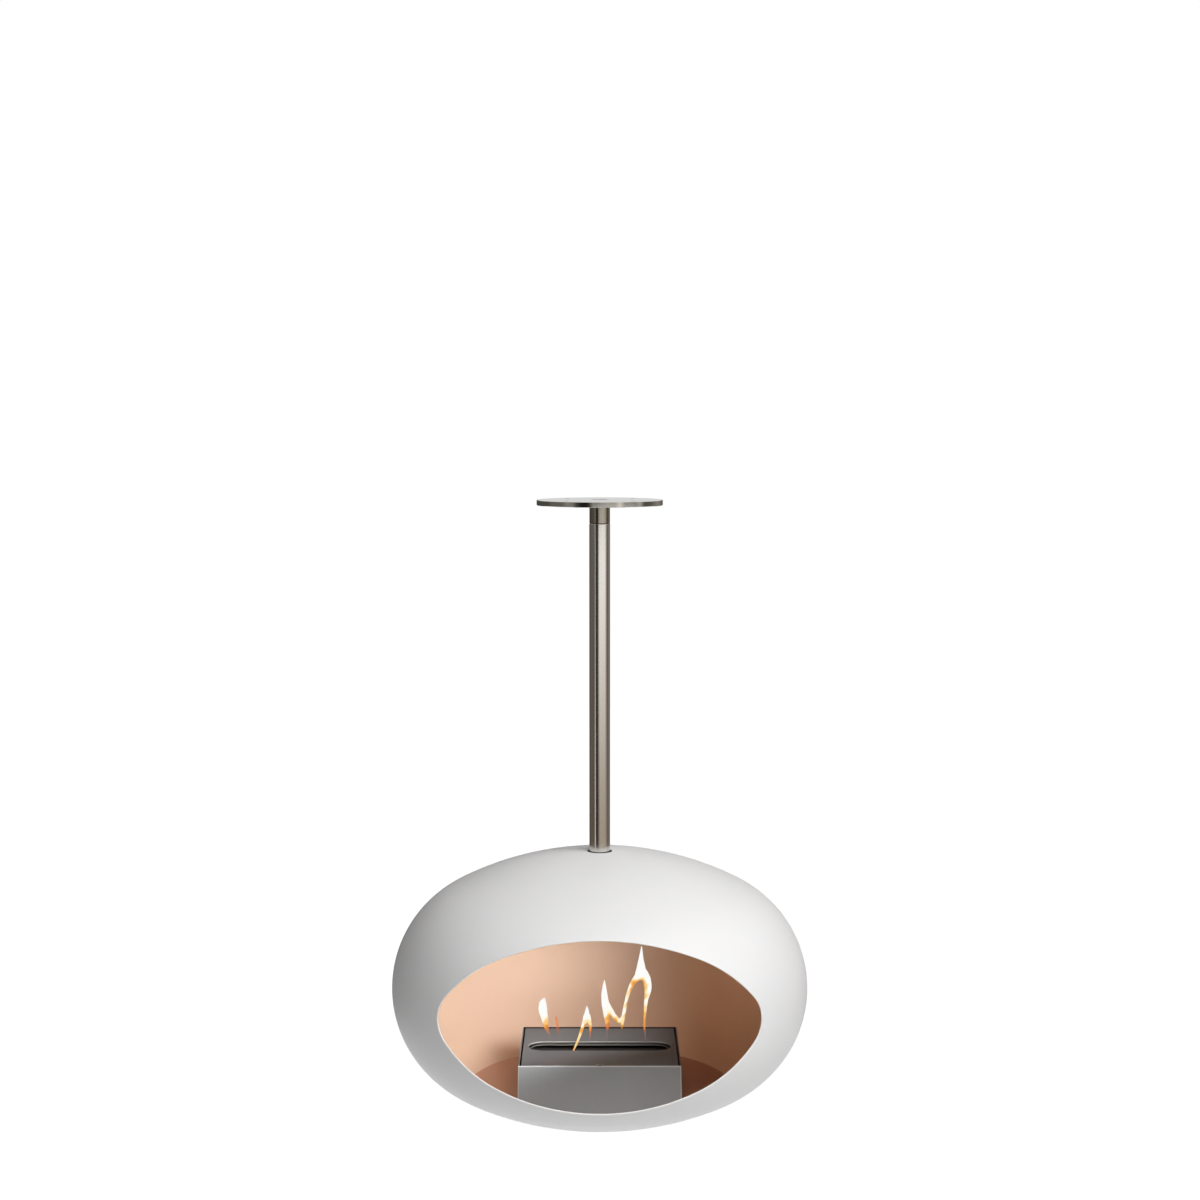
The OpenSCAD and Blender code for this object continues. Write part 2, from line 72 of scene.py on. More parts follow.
# Places that the pieces share
SHELL_LOW, SHELL_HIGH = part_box("lower_shell")
DOME_MIDDLE = SHELL_HIGH.z
DOME_HALF_W = SHELL_HIGH.x
DOME_HALF_H = SHELL_HIGH.z - SHELL_LOW.z
CROWN_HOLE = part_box("pole_grommet")[1].x + CROWN_GAP
BURNER_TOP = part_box("top_plate")[1].z


# ---------------------------------------------------------------- shader tools

class Value:
    """A node's output that takes part in Python sums by adding Math nodes."""

    def __init__(self, finish, socket):
        self.finish = finish
        self.socket = socket

    def reckon(self, operation, first, second):
        """Adds a Math node to this value's tree."""
        return self.finish.node("Math", {"operation": operation}, {0: first, 1: second})

    def __add__(self, other):
        return self.reckon("ADD", self, other)

    def __radd__(self, other):
        return self.reckon("ADD", other, self)

    def __sub__(self, other):
        return self.reckon("SUBTRACT", self, other)

    def __rsub__(self, other):
        return self.reckon("SUBTRACT", other, self)

    def __mul__(self, other):
        return self.reckon("MULTIPLY", self, other)

    def __rmul__(self, other):
        return self.reckon("MULTIPLY", other, self)

    def __truediv__(self, other):
        return self.reckon("DIVIDE", self, other)

    def __lt__(self, limit):
        return self.reckon("LESS_THAN", self, limit)

    def __gt__(self, limit):
        return self.reckon("GREATER_THAN", self, limit)

    def __abs__(self):
        return self.reckon("ABSOLUTE", self, 0)

    def greater(self, other):
        """The greater of two values. Of two masks, it is 1 where either is."""
        return self.reckon("MAXIMUM", self, other)


class Finish:
    """The node tree of a material or of the world, built one node at a time."""

    def __init__(self, owner):
        owner.use_nodes = True
        self.owner = owner
        self.tree = owner.node_tree
        self.tree.nodes.clear()

    def node(self, kind, settings=None, sockets=None, out=0):
        """Adds a node: its settings first, then its sockets' values or links. Gives one output."""
        node = self.tree.nodes.new("ShaderNode" + kind)
        for name, value in (settings or {}).items():
            if name == "stops":
                set_stops(node.color_ramp, value)
            else:
                setattr(node, name, value)
        for name, value in (sockets or {}).items():
            if isinstance(value, Value):
                self.tree.links.new(value.socket, node.inputs[name])
            else:
                node.inputs[name].default_value = value
        return Value(self, node.outputs[out]) if node.outputs else None

    def place(self, stretch=(1, 1, 1)):
        """Object coordinates, stretched so that a pattern runs along an axis."""
        return self.node("Mapping", {}, {
            "Vector": self.node("TexCoord", out="Object"),
            "Scale": stretch,
        })

    def along(self, axis):
        """Object coordinate along X, Y or Z."""
        return self.node("SeparateXYZ", {}, {0: self.place()}, out=axis)

    def noise(self, size, detail=2, stretch=(1, 1, 1)):
        """Soft noise from 0 to 1 whose spots are about size across."""
        return self.node("TexNoise", {}, {
            "Vector": self.place(stretch),
            "Scale": 1 / size,
            "Detail": detail,
        })

    def mix(self, first, second, share):
        """The first colour where share is 0, the second where it is 1."""
        return self.node("Mix", {"data_type": "RGBA"}, {0: share, 6: first, 7: second}, out=2)

    def ramp(self, value, stops):
        """Colour that follows a value through its stops."""
        return self.node("ValToRGB", {"stops": stops}, {"Fac": value})

    def rise(self, value, start, stop):
        """Goes evenly from 0, where a value is start or less, to 1 at stop."""
        return self.node("MapRange", {"clamp": True}, {
            "Value": value,
            "From Min": start,
            "From Max": stop,
        })

    def relief(self, height, depth):
        """Normal of a surface whose height pattern is depth deep."""
        return self.node("Bump", {}, {"Height": height, "Distance": depth})

    def skin(self, **sockets):
        """Principled surface that ends the tree. Underscores stand for spaces in sockets' names."""
        named = {name.replace("_", " "): value for name, value in sockets.items()}
        self.end(self.node("BsdfPrincipled", {}, named))
        return self.owner

    def end(self, surface):
        """Links the tree's last node to its output and gives the owner."""
        kind = "OutputWorld" if isinstance(self.owner, bpy.types.World) else "OutputMaterial"
        self.node(kind, {}, {"Surface": surface})
        return self.owner


def set_stops(ramp, stops):
    """Gives a colour ramp its stops, as pairs of place and colour."""
    while len(ramp.elements) > 1:
        ramp.elements.remove(ramp.elements[-1])
    first, *others = stops
    ramp.elements[0].position = first[0]
    ramp.elements[0].color = first[1]
    for place, colour in others:
        ramp.elements.new(place).color = colour


def paint(red, green, blue):
    """Colour as it is seen on a screen, from 0 to 255, made linear."""
    def linear(part):
        part = part / 255
        return part / 12.92 if part < 0.04045 else ((part + 0.055) / 1.055) ** 2.4
    return (linear(red), linear(green), linear(blue), 1)


def new_finish(name):
    """Empty node tree of a new material."""
    return Finish(bpy.data.materials.new(name))


# ---------------------------------------------------------------- materials

# Near-black that stands for painted shade in the burner's gaps
GAP_SHADE_BLACK = paint(9, 9, 9)

# How deep below its top face a sheet's cut edge starts, where it gets a painted highlight, and how
# far the case's painted gap shade reaches past a fold
EDGE_DEPTH = 0.2 * MM
GAP_SHADE_MARGIN = 0.4 * MM


def white_powder_coat():
    """Smooth matt white powder coat with a fine grain."""
    coat = new_finish("white_powder_coat")
    grain = coat.noise(1.1 * MM, detail=3)
    drift = coat.noise(160 * MM)
    return coat.skin(
        Base_Color=coat.mix(paint(238, 238, 239), paint(243, 243, 243), drift),
        Roughness=0.42 + 0.14 * grain,
        Normal=coat.relief(grain, 0.03 * MM),
        Specular_IOR_Level=0.4,
    )


def white_edge_highlight():
    """Powder coat where it wraps round the sheet's cut edge, whiter than the coat as a painted
    highlight.
    """
    edge = new_finish("white_edge_highlight")
    grain = edge.noise(0.8 * MM, detail=3)
    return edge.skin(
        Base_Color=edge.mix(paint(246, 246, 246), paint(252, 252, 252), grain),
        Roughness=0.4 + 0.1 * grain,
    )


def copper_coat(name, light, dark):
    """Satin copper coat: a soft metallic paint with a fine flake."""
    coat = new_finish(name)
    flake = coat.noise(0.7 * MM, detail=2)
    drift = coat.noise(120 * MM)
    colour = coat.mix(dark, light, 0.55 * flake + 0.45 * drift)
    return coat.skin(
        Base_Color=colour,
        Metallic=0.35,
        Roughness=0.42 + 0.10 * flake,
        Normal=coat.relief(flake, 0.015 * MM),
    )


def drawn_steel(name, light, dark, roughness, stretch):
    """Steel with fine lines that run where stretch is smallest."""
    steel = new_finish(name)
    lines = steel.noise(0.35 * MM, detail=3, stretch=stretch)
    drift = steel.noise(60 * MM)
    return steel.skin(
        Base_Color=steel.mix(dark, light, 0.7 * lines + 0.3 * drift),
        Metallic=1.0,
        Roughness=roughness * (0.8 + 0.4 * lines),
        Normal=steel.relief(lines, 0.002 * MM),
    )


def blasted_grey(grey, light, dark, other=None, share=0):
    """Grey blasted steel. Where share is 1 it has another colour."""
    grain = grey.noise(0.5 * MM, detail=3)
    drift = grey.noise(45 * MM)
    colour = grey.mix(dark, light, 0.6 * grain + 0.4 * drift)
    if other is not None:
        colour = grey.mix(colour, other, share)
    return grey.skin(
        Base_Color=colour,
        Metallic=0.1,
        Roughness=0.46 + 0.12 * grain,
        Normal=grey.relief(grain, 0.012 * MM),
        Specular_IOR_Level=0.2,
    )


def burner_grey(name, light, dark):
    """Grey blasted steel of the burner."""
    return blasted_grey(new_finish(name), light, dark)


def cut_sheet(node, face, edge_highlight, shade_width=0):
    """Grey sheet whose laser-cut edges below its top face get a lighter colour: a painted
    highlight.

    Along its rear edge a near-black band, as wide as shade_width says, is painted shade of the gap
    behind it."""
    grey = new_finish(node)
    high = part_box(node)[1]
    edge = grey.along("Z") < high.z - EDGE_DEPTH
    rear = grey.along("Y") > high.y - shade_width
    return blasted_grey(grey, *face, grey.mix(edge_highlight, GAP_SHADE_BLACK, rear), edge.greater(rear))


def gap_shaded_case():
    """Grey case with painted shade: near-black on the inside and on its back wall, where the gap
    round the top plate lies in shade.
    """
    grey = new_finish("gap_shaded_case")
    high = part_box("burner_case")[1]
    between = abs(grey.along("X")) < high.x - CASE_SHEET + GAP_SHADE_MARGIN
    behind = grey.along("Y") > high.y - CASE_SHEET - GAP_SHADE_MARGIN
    light, dark = paint(120, 120, 120), paint(110, 110, 110)
    # Near-black on the inner and back walls is painted shade of the gap round the top plate
    return blasted_grey(grey, light, dark, GAP_SHADE_BLACK, between.greater(behind))


def rubber():
    """Matt black rubber."""
    black = new_finish("black_rubber")
    grain = black.noise(0.4 * MM)
    return black.skin(
        Base_Color=black.mix(paint(20, 19, 18), paint(34, 32, 30), grain),
        Roughness=0.6 + 0.2 * grain,
        Normal=black.relief(grain, 0.02 * MM),
    )


def ceramic_wool():
    """Pressed fibre, nearly black, in uneven tones."""
    wool = new_finish("ceramic_wool")
    fibre = wool.noise(1.5 * MM, detail=6, stretch=(1, 1, 6))
    blotches = wool.noise(22 * MM, detail=3)
    return wool.skin(
        Base_Color=wool.mix(paint(46, 43, 40), paint(22, 20, 19), blotches * fibre),
        Roughness=0.9 + 0.1 * fibre,
        Normal=wool.relief(fibre, 0.6 * MM),
    )


def flame_glow():
    """Flame: clear and bluish at its foot, then orange, cream and white, by each point's heat."""
    fire = new_finish("flame_glow")
    heat = fire.node("Attribute", {"attribute_name": "flame_warmth"}, out="Fac")
    colour = fire.ramp(heat, [
        (0.00, paint(150, 128, 160)),
        (0.16, paint(196, 120, 110)),
        (0.30, paint(226, 124, 48)),
        (0.45, paint(248, 176, 78)),
        (0.60, paint(255, 226, 160)),
        (0.78, paint(255, 248, 232)),
        (1.00, paint(255, 255, 252)),
    ])
    body = fire.ramp(heat, [
        (0.00, (0.03, 0.03, 0.03, 1)),
        (0.18, (0.14, 0.14, 0.14, 1)),
        (0.32, (0.55, 0.55, 0.55, 1)),
        (0.50, (0.80, 0.80, 0.80, 1)),
        (0.75, (0.93, 0.93, 0.93, 1)),
    ])
    return fire.skin(
        Base_Color=paint(0, 0, 0),
        Roughness=1.0,
        Specular_IOR_Level=0.0,
        Emission_Color=colour,
        Emission_Strength=1.0,
        Alpha=body,
    )


# ---------------------------------------------------------------- modelling tools

def select_only(piece):
    """Leaves one object selected and active."""
    bpy.ops.object.select_all(action="DESELECT")
    piece.select_set(True)
    bpy.context.view_layer.objects.active = piece


def apply_modifier(piece, kind, **settings):
    """Adds a modifier with its settings and applies it."""
    select_only(piece)
    modifier = piece.modifiers.new(kind.lower(), kind)
    for name, value in settings.items():
        setattr(modifier, name, value)
    bpy.ops.object.modifier_apply(modifier=modifier.name)


def settle(piece):
    """Puts a piece's place, turn and scale into its mesh."""
    select_only(piece)
    bpy.ops.object.transform_apply(location=True, rotation=True, scale=True)


def line_of_edges(name, points):
    """A chain of edges, extruded point by point from a single vertex."""
    bpy.ops.object.select_all(action="DESELECT")
    bpy.ops.mesh.primitive_plane_add(size=MM, location=points[0])
    piece = bpy.context.object
    piece.name = name
    settle(piece)
    bpy.ops.object.mode_set(mode="EDIT")
    bpy.ops.mesh.select_all(action="SELECT")
    bpy.ops.mesh.merge(type="CENTER")
    for start, stop in zip(points, points[1:]):
        step = tuple(b - a for a, b in zip(start, stop))
        bpy.ops.mesh.extrude_region_move(TRANSFORM_OT_translate={"value": step})
    bpy.ops.object.mode_set(mode="OBJECT")
    return piece


def empty_curve(name, thickness, roundness):
    """A curve without a spline yet, which sweeps a circle."""
    bpy.ops.object.select_all(action="DESELECT")
    bpy.ops.curve.primitive_bezier_curve_add(location=(0, 0, 0))
    piece = bpy.context.object
    piece.name = name
    piece.data.splines.clear()
    piece.data.bevel_depth = thickness
    piece.data.bevel_resolution = roundness
    return piece


def arc(middle, radius, start, stop, steps):
    """Points on an arc from one angle to another, without the first."""
    angles = [start + (stop - start) * i / steps for i in range(1, steps + 1)]
    return [(middle[0] + radius * math.cos(a), middle[1] + radius * math.sin(a)) for a in angles]


# ---------------------------------------------------------------- dome

# Steps of each arc of the dome's section, of its turn, and of each arc of the opening
DOME_STEPS = 40
DOME_SIDES = 256
OPENING_STEPS = 32

# Distance within which points of the spun shell become one, and the angle up to which it is smooth
WELD = 0.02 * MM
SMOOTH_ANGLE = math.radians(35)

# The shell's finishes are its outside, its inside and its cut edge, in this order
INSIDE_PLACE = 1
EDGE_PLACE = 2

# How far the normal of a cut edge may lean along Y
EDGE_LEAN = 0.02

# Bead of coat round the opening
LIP_RADIUS = 1.15 * MM
LIP_ROUNDNESS = 3


def dome_quarter():
    """Dome's outline from its widest point up to its middle: two tangent arcs."""
    reach = DOME_HALF_W - RIM_RADIUS
    rise = DOME_HALF_H - RIM_RADIUS
    crown_radius = (reach ** 2 + DOME_HALF_H ** 2 - RIM_RADIUS ** 2) / (2 * rise)
    turn = math.atan2(crown_radius - DOME_HALF_H, reach)
    rim = arc((reach, 0), RIM_RADIUS, 0, turn, DOME_STEPS)
    crown = arc((0, DOME_HALF_H - crown_radius), crown_radius, turn, TURN / 4, DOME_STEPS)
    return [(DOME_HALF_W, 0)] + rim + crown


def dome_section():
    """Outside of the dome from the edge of the crown's hole over the rim to the bottom."""
    quarter = dome_quarter()
    upper = [(x, z) for x, z in reversed(quarter) if x > CROWN_HOLE]
    x, z = upper[0]
    crown = DOME_HALF_H - (DOME_HALF_H - z) * (CROWN_HOLE / x) ** 2
    lower = [(x, -z) for x, z in quarter[1:]]
    section = [(CROWN_HOLE, crown)] + upper + lower
    return [(x, 0, DOME_MIDDLE + z) for x, z in section]


def opening_quarter():
    """Opening's outline from its right end up to its top: three tangent arcs."""
    tip_turn, shoulder_turn = OPENING_TIP_TURN, OPENING_SHOULDER_TURN
    tip_cos, tip_sin = math.cos(tip_turn), math.sin(tip_turn)
    shoulder_cos, shoulder_sin = math.cos(shoulder_turn), math.sin(shoulder_turn)
    tip_radius = OPENING_TIP_RADIUS
    tip_middle = OPENING_HALF_W - tip_radius
    across = tip_middle + tip_radius * tip_cos
    up = OPENING_HALF_H - tip_radius * tip_sin
    bend_x, bend_z = tip_cos - shoulder_cos, tip_sin - shoulder_sin
    share = bend_x * (1 - shoulder_sin) + shoulder_cos * bend_z
    shoulder_radius = (across * (1 - shoulder_sin) - shoulder_cos * up) / share
    top_radius = (bend_x * up + bend_z * across) / share
    shoulder_middle = (across - shoulder_radius * tip_cos, (tip_radius - shoulder_radius) * tip_sin)
    top_middle = (0, OPENING_HALF_H - top_radius)
    tip = arc((tip_middle, 0), tip_radius, 0, tip_turn, OPENING_STEPS)
    shoulder = arc(shoulder_middle, shoulder_radius, tip_turn, shoulder_turn, OPENING_STEPS)
    top = arc(top_middle, top_radius, shoulder_turn, TURN / 4, OPENING_STEPS)
    return [(OPENING_HALF_W, 0)] + tip + shoulder + top


def opening_outline():
    """Opening's whole outline, round from its lowest point."""
    quarter = opening_quarter()
    right = [(x, -z) for x, z in reversed(quarter[1:])] + quarter
    return right[:-1] + [(-x, z) for x, z in reversed(right[1:])]


def opening_cutter():
    """Solid that cuts the front opening along Y."""
    outline = opening_outline()
    middle = (0, 0, DOME_MIDDLE + OPENING_RISE)
    bpy.ops.object.select_all(action="DESELECT")
    bpy.ops.mesh.primitive_circle_add(
        vertices=len(outline), radius=1, fill_type="NGON", location=middle)
    cutter = bpy.context.object
    for vertex, (x, z) in zip(cutter.data.vertices, outline):
        vertex.co = (x, 0, z)
    settle(cutter)
    bpy.ops.object.mode_set(mode="EDIT")
    bpy.ops.mesh.select_all(action="SELECT")
    bpy.ops.mesh.extrude_region_move(TRANSFORM_OT_translate={"value": (0, -2 * DOME_HALF_W, 0)})
    bpy.ops.mesh.select_all(action="SELECT")
    bpy.ops.mesh.normals_make_consistent(inside=False)
    bpy.ops.object.mode_set(mode="OBJECT")
    return cutter


def on_cut_edge(face):
    """True for a face of the sheet's edge round the opening: forward, its normal square to Y."""
    return face.center.y < -DOME_HALF_W / 2 and abs(face.normal.y) < EDGE_LEAN


def dome_shell(outside, inside, edge):
    """Spun oval shell with the opening cut out of its front."""
    shell = line_of_edges("dome_shell", dome_section())
    select_only(shell)
    bpy.ops.object.mode_set(mode="EDIT")
    bpy.ops.mesh.select_all(action="SELECT")
    bpy.ops.mesh.spin(steps=DOME_SIDES, angle=TURN, center=(0, 0, 0), axis=(0, 0, 1))
    bpy.ops.mesh.select_all(action="SELECT")
    bpy.ops.mesh.remove_doubles(threshold=WELD)
    bpy.ops.mesh.normals_make_consistent(inside=False)
    bpy.ops.object.mode_set(mode="OBJECT")
    for finish in (outside, inside, edge):
        shell.data.materials.append(finish)
    apply_modifier(
        shell, "SOLIDIFY", thickness=SHEET, offset=-1, use_even_offset=True,
        material_offset=INSIDE_PLACE)
    cutter = opening_cutter()
    apply_modifier(shell, "BOOLEAN", operation="DIFFERENCE", object=cutter, solver="EXACT")
    bpy.data.objects.remove(cutter)
    for face in shell.data.polygons:
        if on_cut_edge(face):
            face.material_index = EDGE_PLACE
    select_only(shell)
    bpy.ops.object.shade_smooth_by_angle(angle=SMOOTH_ANGLE)
    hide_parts("upper_shell", "lower_shell")
    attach(shell, "dome")


def lip_point(x, z):
    """Place in the middle of the sheet's thickness at a point of the opening's outline."""
    height = z + OPENING_RISE
    reach = DOME_HALF_W - RIM_RADIUS
    out = reach + math.sqrt((RIM_RADIUS - SHEET / 2) ** 2 - height ** 2)
    return (x, -math.sqrt(out ** 2 - x ** 2), DOME_MIDDLE + height)


def opening_lip(finish):
    """Rounded edge that the coat builds up along the sheet round the opening."""
    lip = empty_curve("opening_lip", LIP_RADIUS, LIP_ROUNDNESS)
    outline = opening_outline()
    spline = lip.data.splines.new("POLY")
    spline.use_cyclic_u = True
    spline.points.add(len(outline) - 1)
    for point, (x, z) in zip(spline.points, outline):
        point.co = (*lip_point(x, z), 1)
    bpy.ops.object.convert(target="MESH")
    settle(lip)
    lip.data.materials.append(finish)
    bpy.ops.object.shade_smooth()
    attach(lip, "dome")


# ---------------------------------------------------------------- burner

PANEL_SHEET = 3 * MM
PANEL_SLOPE = 33 * MM
PANEL_BEVEL = 1.2 * MM


def burner_front(face, edge):
    """Front of the burner, which slopes forward from its top edge down to the floor plate."""
    low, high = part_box("front_panel")
    back = low.y + PANEL_SHEET
    profile = [(back, high.z), (low.y, high.z), (low.y - PANEL_SLOPE, low.z), (back, low.z)]
    panel = line_of_edges("burner_front", [(low.x, y, z) for y, z in profile])
    bpy.ops.object.mode_set(mode="EDIT")
    bpy.ops.mesh.select_all(action="SELECT")
    bpy.ops.mesh.edge_face_add()
    bpy.ops.mesh.extrude_region_move(TRANSFORM_OT_translate={"value": (high.x - low.x, 0, 0)})
    bpy.ops.mesh.select_all(action="SELECT")
    bpy.ops.mesh.normals_make_consistent(inside=False)
    bpy.ops.object.mode_set(mode="OBJECT")
    panel.data.materials.append(face)
    panel.data.materials.append(edge)
    # The bevel's faces take the second finish, a light grey that is a painted highlight along the
    # panel's edges
    apply_modifier(panel, "BEVEL", width=PANEL_BEVEL, segments=2, material=1)
    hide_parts("front_panel")
    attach(panel, "dome")


# ---------------------------------------------------------------- flames

# Each flame's strands in millimetres. A point is its place from left to right and from the front to
# the back, its height above the burner's top, and half the strand's width there.
FLAMES = {
    "flame_left": [
        [(-66, 0, 4, 0.7), (-70, 0, 15.7, 0.9), (-73.2, 0, 22.8, 1.9), (-75.3, 0, 28.7, 3.2),
         (-77.5, 0, 40, 4.7), (-80.3, 0, 54.5, 6.3), (-80.1, 0, 63.5, 5.2), (-78.6, 0, 68.6, 2.6),
         (-78, 0, 70.6, 0.7)],
    ],
    "flame_wisp": [
        [(-55.8, 0, 6, 0.6), (-57, 0, 14, 0.8), (-59.5, 0, 27, 2.1), (-60.5, 0, 38, 1.7),
         (-61.5, 0, 44.5, 0.6)],
    ],
    "flame_middle": [
        [(-37.4, -15, -2, 1.2), (-28.5, -6, 17, 1.9), (-23.6, -2, 30.7, 2.5), (-18.9, 0, 43, 4.8),
         (-18, 0, 51, 3.1), (-18.1, 0, 59.3, 0.7)],
        [(-14.5, 0, 6, 0.6), (-13.9, 0, 14, 0.8), (-13.2, 0, 25, 1.6), (-14.4, 0, 37, 2.7),
         (-16.6, 0, 46, 3.4)],
    ],
    "flame_right": [
        [(10, 0, 6, 0.7), (10.6, 0, 22.8, 1.7), (10.9, 0, 33, 2.8), (9.2, 0, 45.3, 3.7),
         (8.1, 0, 60.8, 5.5), (6.6, 0, 75, 4.5), (6.4, 0, 86, 2.8), (6.7, 0, 96.2, 0.7)],
        [(9.5, 0, 63, 4.0), (15.2, 0, 51.6, 4.4), (21.5, 0, 43, 3.5), (27.9, 0, 38, 3.2),
         (32.5, 0, 42, 2.8)],
        [(31.1, 0, 26, 0.9), (32.1, 0, 37, 2.6), (34.1, 0, 48.7, 2.7), (37.3, 0, 66, 2.3),
         (41.5, 0, 81, 2.7), (47.6, 0, 93.3, 3.9), (53.5, 0, 101.2, 4.8)],
        [(57.9, 0, 97, 5.5), (58.2, 0, 105, 8.6), (58.2, 0, 116.3, 5.8), (58.2, 0, 125.7, 3.7),
         (58.6, 0, 136.5, 1.9), (58.9, 0, 145, 0.7)],
        [(67.3, 0, 2, 0.7), (65.1, 0, 10, 0.8), (63, 0, 37, 1.6), (64.2, 0, 53, 2.0),
         (65.5, 0, 67.4, 2.8), (68, 0, 84.6, 5.2), (65.9, 0, 97.6, 6.0), (61.7, 0, 109, 5.0)],
    ],
}

# Points that set a flame's heat: place from left to right, height, and heat from 0 to 1. The
# nearest ones count most.
FLAME_HEAT = {
    "flame_left": [
        (-66, 5, 0.03), (-70, 15, 0.10), (-73, 22, 0.24), (-74, 28, 0.34), (-79, 30, 0.44),
        (-76, 37, 0.52), (-81, 40, 0.86), (-80, 50, 1.0), (-80, 66, 1.0),
    ],
    "flame_wisp": [
        (-56, 6, 0.02), (-57, 14, 0.08), (-59, 26, 0.22), (-60, 36, 0.34), (-61, 44, 0.28),
    ],
    "flame_middle": [
        (-37, -2, 0.50), (-34, 8, 0.56), (-30, 17, 0.62), (-24, 26, 0.44), (-26, 32, 0.86),
        (-19, 30, 0.34), (-18, 37, 0.62), (-22, 44, 1.0), (-18, 54, 1.0), (-13, 44, 0.92),
        (-12, 34, 0.62), (-15, 28, 0.40), (-13.5, 18, 0.24), (-14, 6, 0.03),
    ],
    "flame_right": [
        (10, 6, 0.02), (10.5, 20, 0.12), (12, 32, 0.30), (13, 42, 0.42), (8, 36, 0.50),
        (6, 48, 0.88), (6, 62, 1.0), (7, 80, 1.0), (12, 60, 0.90), (15, 44, 0.44), (20, 48, 0.84),
        (22, 38, 0.42), (28, 40, 0.72), (31, 28, 0.36), (31, 35, 0.60), (33, 50, 0.86),
        (37, 47, 0.52), (36, 66, 0.84), (40, 64, 0.44), (41, 86, 0.88), (45, 84, 0.40),
        (50, 89, 0.36), (57, 91, 0.34), (60, 94, 0.42), (52, 104, 0.94), (58, 108, 1.0),
        (58, 130, 1.0), (68, 98, 1.0), (71, 85, 1.0), (64, 86, 0.50), (63, 72, 0.52),
        (67, 68, 0.88), (65, 52, 0.62), (62, 50, 0.44), (63, 36, 0.40), (65, 14, 0.14),
        (67, 3, 0.04),
    ],
}

# A flame's depth over its width, its place from front to back, and how finely it is swept and grown
FLAME_FLATNESS = 0.6
FLAME_PLANE = -5 * MM
FLAME_STEPS = 10
FLAME_ROUNDNESS = 4
FLAME_GRAIN = 0.5 * MM


def heat_at(x, height, points):
    """Heat of a place in a flame, from the points near it."""
    total, weight = 0, 0
    for px, pz, heat in points:
        near = 1 / ((x - px) ** 2 + (height - pz) ** 2 + 1) ** 2
        total += heat * near
        weight += near
    return total / weight


def flame(name, strands, heat_points, finish):
    """Strands swept along smooth lines, grown together into one closed body."""
    piece = empty_curve(name, MM, FLAME_ROUNDNESS)
    line = piece.data
    line.resolution_u = FLAME_STEPS
    line.use_fill_caps = True
    for strand in strands:
        spline = line.splines.new("BEZIER")
        spline.bezier_points.add(len(strand) - 1)
        for point, (x, y, height, half_w) in zip(spline.bezier_points, strand):
            point.co = (x * MM, y * MM / FLAME_FLATNESS, height * MM)
            point.radius = half_w
            point.handle_left_type = "AUTO"
            point.handle_right_type = "AUTO"
    bpy.ops.object.convert(target="MESH")
    piece.scale = (1, FLAME_FLATNESS, 1)
    piece.location = (0, FLAME_PLANE, BURNER_TOP)
    settle(piece)
    apply_modifier(piece, "REMESH", mode="VOXEL", voxel_size=FLAME_GRAIN, use_smooth_shade=True)
    apply_modifier(piece, "SMOOTH", factor=0.5, iterations=3)
    apply_modifier(piece, "DECIMATE", ratio=0.4)
    heat = piece.data.attributes.new("flame_warmth", "FLOAT", "POINT")
    for vertex, value in zip(piece.data.vertices, heat.data):
        height = vertex.co.z - BURNER_TOP
        value.value = heat_at(vertex.co.x / MM, height / MM, heat_points)
    piece.data.materials.append(finish)
    piece.visible_shadow = False
    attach(piece, "burner_insert")
    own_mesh(piece)


# ---------------------------------------------------------------- studio

WHITE = (1, 1, 1, 1)

# Camera: its place, how far it looks down in radians, its film's width and its lens in millimetres
CAMERA_PLACE = (0.0004, -3.0852, 0.1202)
CAMERA_DIP = 0.084
CAMERA_FILM = 36
CAMERA_LENS = 66.746

# Ambient light at the horizon, its fall towards the zenith and the least that is left
AMBIENT = 0.33
AMBIENT_FALL = 0.50
AMBIENT_LEAST = 0.02

# Floor: the light it gives, the lift that makes it show white, and the further lift that grows
# between two distances
FLOOR_LEVEL = -1.9
FLOOR_SIZE = 24
FLOOR_COLOUR = (0.82, 0.82, 0.82, 1)
FLOOR_GLOW = 0.22
FLOOR_LIFT = 0.62
FAR_LIFT = 0.14
FAR_REACH = (2.2, 5.5)

# Round wall that the pole, collar and plate mirror
WALL_SIDES = 96
WALL_RADIUS = 3.4
WALL_TOP = 2.1
WALL_BOTTOM = -2.5

# Its upright bands: azimuth in degrees from the front towards the right, then the colour that the
# steel shows high up and low down
WALL_BANDS = [
    (-180, (58, 44, 34), (58, 46, 38)),
    (-138, (58, 44, 34), (58, 46, 38)),
    (-128, (96, 88, 82), (92, 82, 74)),
    (-64, (88, 86, 80), (84, 74, 66)),
    (-57, (100, 98, 94), (90, 82, 74)),
    (-53, (150, 148, 144), (205, 200, 194)),
    (-47, (140, 138, 134), (195, 190, 184)),
    (-43, (44, 42, 40), (44, 38, 34)),
    (-24, (34, 33, 32), (38, 33, 30)),
    (-17, (100, 96, 86), (78, 66, 56)),
    (-8, (235, 233, 228), (110, 98, 86)),
    (4, (243, 241, 238), (152, 142, 128)),
    (62, (240, 238, 235), (150, 138, 125)),
    (76, (150, 144, 138), (138, 126, 118)),
    (88, (104, 96, 92), (112, 100, 94)),
    (104, (84, 78, 74), (92, 82, 76)),
    (118, (128, 120, 114), (112, 102, 96)),
    (160, (118, 110, 104), (104, 94, 88)),
    (180, (58, 44, 34), (58, 46, 38)),
]

# Heights between which the low colours fade into the high ones, and the high ones into white
WALL_FADE = (-1.05, -0.30)
WALL_WHITEN = (0.5, 1.3)

# Share of the light that the polished pole gives back
POLISHED_SHARE = 0.72

